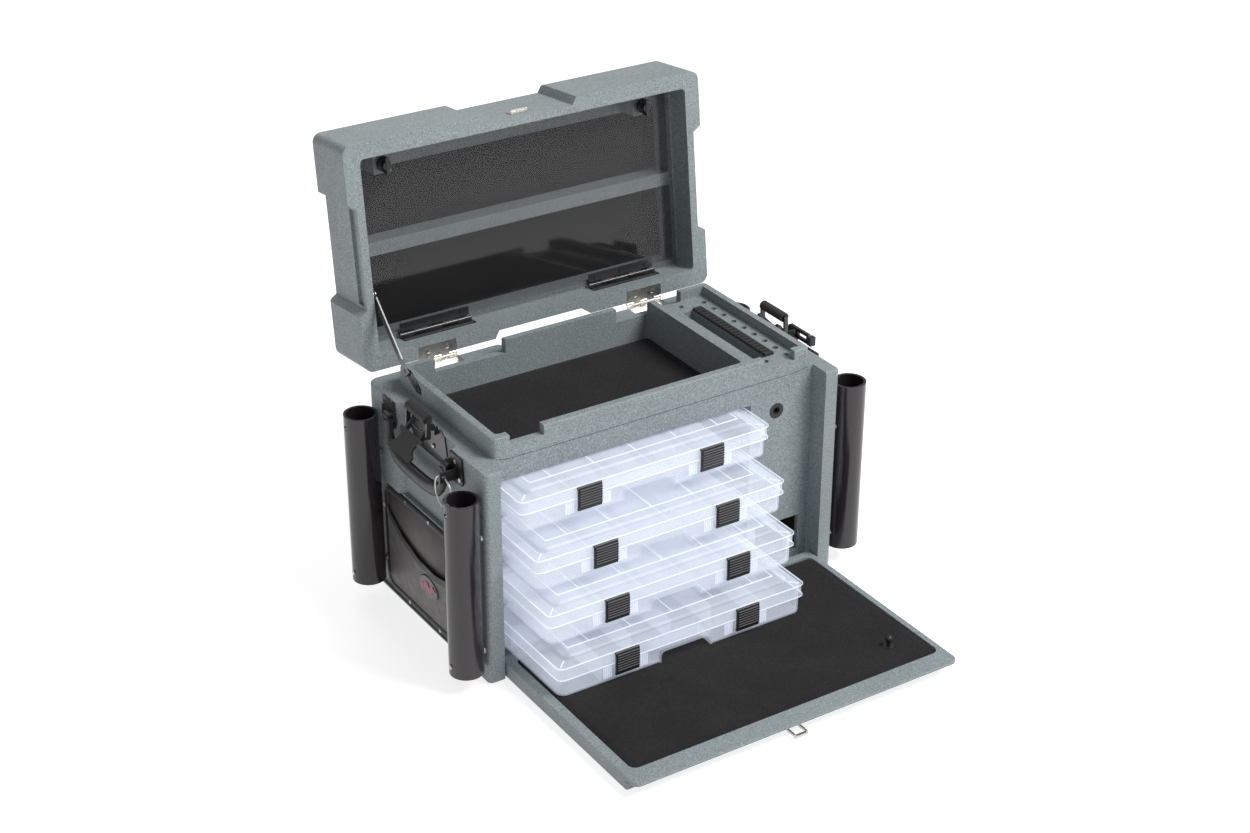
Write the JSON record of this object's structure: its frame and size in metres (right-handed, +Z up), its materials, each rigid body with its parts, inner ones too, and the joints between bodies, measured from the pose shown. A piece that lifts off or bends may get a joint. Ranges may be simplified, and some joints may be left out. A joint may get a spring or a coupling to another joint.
{
  "type": "fishing tackle box",
  "caption": "Hard fishing tackle box with a window lid, top tray, drop-down front door, pull-out utility boxes and outside rod tubes.",
  "frame": {"origin": "centre of the case footprint on the floor", "axes": "+X to the right seen from the front, +Y to the back (hinge side of the lid), +Z up"},
  "size_m": [0.604, 0.6935, 0.579],
  "materials": {
    "granite_shell": "textured",
    "black_foam": "matte",
    "black_plastic": "satin",
    "black_metal": "satin",
    "window_clear": "clear",
    "nickel_steel": "satin",
    "tube_plastic": "gloss",
    "black_rubber": "matte",
    "pocket_cloth": "satin",
    "box_clear": "translucent"
  },
  "bodies": {
    "case": {"case_body": "granite_shell", "top_tray": "granite_shell", "tray_foam": "black_foam", "rig_rail": "black_rubber", "grommet": "black_rubber", "lid_hinge_lower": "nickel_steel", "stay_bracket": "black_metal", "door_hinge": "nickel_steel", "case_fasteners": "nickel_steel", "side_pocket": "pocket_cloth", "pull_tab_right": "black_plastic", "side_latch_base_left": "black_metal", "side_latch_base_right": "black_metal", "handle_bracket_left": "black_plastic", "handle_bracket_right": "black_plastic", "rod_tube_front_left": "tube_plastic", "rod_tube_front_right": "tube_plastic", "rod_tube_rear_left": "tube_plastic", "rod_tube_rear_right": "tube_plastic"},
    "lid": {"lid_shell": "granite_shell", "lid_foam": "black_foam", "window_hinge_fixed": "black_metal", "lid_hinge_upper": "nickel_steel", "lid_fittings": "nickel_steel"},
    "window": {"lid_window": "window_clear", "window_hinge_moving": "black_metal"},
    "window_knob_left": {"window_knob_left": "black_plastic"},
    "window_knob_right": {"window_knob_right": "black_plastic"},
    "stay_arm": {"stay_arm": "black_metal"},
    "door": {"door_panel": "granite_shell", "door_foam": "black_foam", "door_ball_stud": "black_plastic", "door_latch_base": "nickel_steel"},
    "door_latch_lever": {"door_latch_lever": "nickel_steel"},
    "door_latch_hook": {"door_latch_hook": "nickel_steel"},
    "side_latch_lever_left": {"side_latch_lever_left": "black_metal"},
    "side_latch_link_left": {"side_latch_link_left": "black_metal"},
    "side_latch_roller_left": {"side_latch_roller_left": "black_rubber"},
    "handle_left": {"handle_left": "black_plastic"},
    "side_latch_lever_right": {"side_latch_lever_right": "black_metal"},
    "side_latch_link_right": {"side_latch_link_right": "black_metal"},
    "side_latch_roller_right": {"side_latch_roller_right": "black_rubber"},
    "handle_right": {"handle_right": "black_plastic"},
    "accessory_ring": {"accessory_ring": "nickel_steel"},
    "box1": {"box1_base": "box_clear"},
    "box1_lid": {"box1_lid": "box_clear"},
    "box1_latch_left": {"box1_latch_left": "black_plastic"},
    "box1_latch_right": {"box1_latch_right": "black_plastic"},
    "box2": {"box2_base": "box_clear"},
    "box2_lid": {"box2_lid": "box_clear"},
    "box2_latch_left": {"box2_latch_left": "black_plastic"},
    "box2_latch_right": {"box2_latch_right": "black_plastic"},
    "box3": {"box3_base": "box_clear"},
    "box3_lid": {"box3_lid": "box_clear"},
    "box3_latch_left": {"box3_latch_left": "black_plastic"},
    "box3_latch_right": {"box3_latch_right": "black_plastic"},
    "box4": {"box4_base": "box_clear"},
    "box4_lid": {"box4_lid": "box_clear"},
    "box4_latch_left": {"box4_latch_left": "black_plastic"},
    "box4_latch_right": {"box4_latch_right": "black_plastic"}
  },
  "joints": [
    {"name": "lid_hinge", "type": "hinge", "parent": "case", "child": "lid", "pos_m": [0, 0.1481, 0.2894], "axis": [1, 0, 0], "range_deg": [0, 96.5]},
    {"name": "window_hinge", "type": "hinge", "parent": "lid", "child": "window", "pos_m": [0, 0.17745, 0.31555], "axis": [-1, 0, 0], "range_deg": [-90, 0]},
    {"name": "window_knob_left_turn", "type": "hinge", "parent": "window", "child": "window_knob_left", "pos_m": [-0.188, 0.19827, 0.5354], "axis": [0, -0.9936, 0.1132], "range_deg": [-90, 0]},
    {"name": "window_knob_right_turn", "type": "hinge", "parent": "window", "child": "window_knob_right", "pos_m": [0.188, 0.19827, 0.5354], "axis": [0, -0.9936, 0.1132], "range_deg": [-90, 0]},
    {"name": "stay_hinge", "type": "hinge", "parent": "lid", "child": "stay_arm", "pos_m": [-0.2307, 0.16329, 0.38741], "axis": [1, 0, 0], "range_deg": [-145, 0]},
    {"name": "door_hinge", "type": "hinge", "parent": "case", "child": "door", "pos_m": [0, -0.13125, 0.00825], "axis": [-1, 0, 0], "range_deg": [0, 0.4]},
    {"name": "door_latch_lever_flip", "type": "hinge", "parent": "door", "child": "door_latch_lever", "pos_m": [-0.004, -0.385, 0.0051], "axis": [-1, 0, 0], "range_deg": [0, 120]},
    {"name": "door_latch_hook_swing", "type": "hinge", "parent": "door_latch_lever", "child": "door_latch_hook", "pos_m": [-0.004, -0.377, 0.0043], "axis": [-1, 0, 0], "range_deg": [-125, 5]},
    {"name": "side_latch_lever_left_flip", "type": "hinge", "parent": "case", "child": "side_latch_lever_left", "pos_m": [-0.2525, 0.002, 0.292], "axis": [0, -1, 0], "range_deg": [-40, 27]},
    {"name": "side_latch_link_left_swing", "type": "hinge", "parent": "side_latch_lever_left", "child": "side_latch_link_left", "pos_m": [-0.26068, 0.002, 0.28322], "axis": [0, 1, 0], "range_deg": [-54, 52]},
    {"name": "side_latch_roller_left_spin", "type": "hinge", "parent": "side_latch_link_left", "child": "side_latch_roller_left", "pos_m": [-0.2593, 0.002, 0.305], "axis": [0, 1, 0], "continuous": true},
    {"name": "handle_left_swing", "type": "hinge", "parent": "case", "child": "handle_left", "pos_m": [-0.2625, 0.001, 0.268], "axis": [0, 1, 0], "range_deg": [0, 100]},
    {"name": "side_latch_lever_right_flip", "type": "hinge", "parent": "case", "child": "side_latch_lever_right", "pos_m": [0.2525, 0.002, 0.292], "axis": [0, 1, 0], "range_deg": [-40, 27]},
    {"name": "side_latch_link_right_swing", "type": "hinge", "parent": "side_latch_lever_right", "child": "side_latch_link_right", "pos_m": [0.26068, 0.002, 0.28322], "axis": [0, -1, 0], "range_deg": [-54, 52]},
    {"name": "side_latch_roller_right_spin", "type": "hinge", "parent": "side_latch_link_right", "child": "side_latch_roller_right", "pos_m": [0.2593, 0.002, 0.305], "axis": [0, 1, 0], "continuous": true},
    {"name": "handle_right_swing", "type": "hinge", "parent": "case", "child": "handle_right", "pos_m": [0.2625, 0.001, 0.268], "axis": [0, -1, 0], "range_deg": [0, 100]},
    {"name": "accessory_ring_swing", "type": "hinge", "parent": "case", "child": "accessory_ring", "pos_m": [-0.2765, -0.0876, 0.2645], "axis": [0, 1, 0], "range_deg": [0, 60]},
    {"name": "box1_slide", "type": "slide", "parent": "case", "child": "box1", "axis": [0, 1, 0], "range_m": [-0.195, 0.05]},
    {"name": "box1_lid_hinge", "type": "hinge", "parent": "box1", "child": "box1_lid", "pos_m": [-0.0405, 0.072, 0.2446], "axis": [-1, 0, 0], "range_deg": [0, 0.6]},
    {"name": "box1_latch_left_flip", "type": "hinge", "parent": "box1_lid", "child": "box1_latch_left", "pos_m": [-0.125, -0.1639, 0.2442], "axis": [1, 0, 0], "range_deg": [-110, 0]},
    {"name": "box1_latch_right_flip", "type": "hinge", "parent": "box1_lid", "child": "box1_latch_right", "pos_m": [0.049, -0.1639, 0.2442], "axis": [1, 0, 0], "range_deg": [-110, 0]},
    {"name": "box2_slide", "type": "slide", "parent": "case", "child": "box2", "axis": [0, 1, 0], "range_m": [-0.16, 0.085]},
    {"name": "box2_lid_hinge", "type": "hinge", "parent": "box2", "child": "box2_lid", "pos_m": [-0.0405, 0.037, 0.1835], "axis": [-1, 0, 0], "range_deg": [0, 2.5]},
    {"name": "box2_latch_left_flip", "type": "hinge", "parent": "box2_lid", "child": "box2_latch_left", "pos_m": [-0.125, -0.1989, 0.1831], "axis": [1, 0, 0], "range_deg": [-110, 0]},
    {"name": "box2_latch_right_flip", "type": "hinge", "parent": "box2_lid", "child": "box2_latch_right", "pos_m": [0.049, -0.1989, 0.1831], "axis": [1, 0, 0], "range_deg": [-110, 0]},
    {"name": "box3_slide", "type": "slide", "parent": "case", "child": "box3", "axis": [0, 1, 0], "range_m": [-0.135, 0.11]},
    {"name": "box3_lid_hinge", "type": "hinge", "parent": "box3", "child": "box3_lid", "pos_m": [-0.0405, 0.012, 0.1224], "axis": [-1, 0, 0], "range_deg": [0, 2.5]},
    {"name": "box3_latch_left_flip", "type": "hinge", "parent": "box3_lid", "child": "box3_latch_left", "pos_m": [-0.125, -0.2239, 0.122], "axis": [1, 0, 0], "range_deg": [-110, 0]},
    {"name": "box3_latch_right_flip", "type": "hinge", "parent": "box3_lid", "child": "box3_latch_right", "pos_m": [0.049, -0.2239, 0.122], "axis": [1, 0, 0], "range_deg": [-110, 0]},
    {"name": "box4_slide", "type": "slide", "parent": "case", "child": "box4", "axis": [0, 1, 0], "range_m": [-0.113, 0.132]},
    {"name": "box4_lid_hinge", "type": "hinge", "parent": "box4", "child": "box4_lid", "pos_m": [-0.0405, -0.01, 0.0613], "axis": [-1, 0, 0], "range_deg": [0, 2.5]},
    {"name": "box4_latch_left_flip", "type": "hinge", "parent": "box4_lid", "child": "box4_latch_left", "pos_m": [-0.125, -0.2459, 0.0609], "axis": [1, 0, 0], "range_deg": [-110, 0]},
    {"name": "box4_latch_right_flip", "type": "hinge", "parent": "box4_lid", "child": "box4_latch_right", "pos_m": [0.049, -0.2459, 0.0609], "axis": [1, 0, 0], "range_deg": [-110, 0]}
  ],
  "couplings": [
    {"joint": "stay_hinge", "follows": "lid_hinge", "ratio": -1.475},
    {"joint": "door_latch_hook_swing", "follows": "door_latch_lever_flip", "ratio": -1},
    {"joint": "side_latch_link_left_swing", "follows": "side_latch_lever_left_flip", "ratio": 1.339},
    {"joint": "side_latch_link_right_swing", "follows": "side_latch_lever_right_flip", "ratio": 1.339}
  ]
}
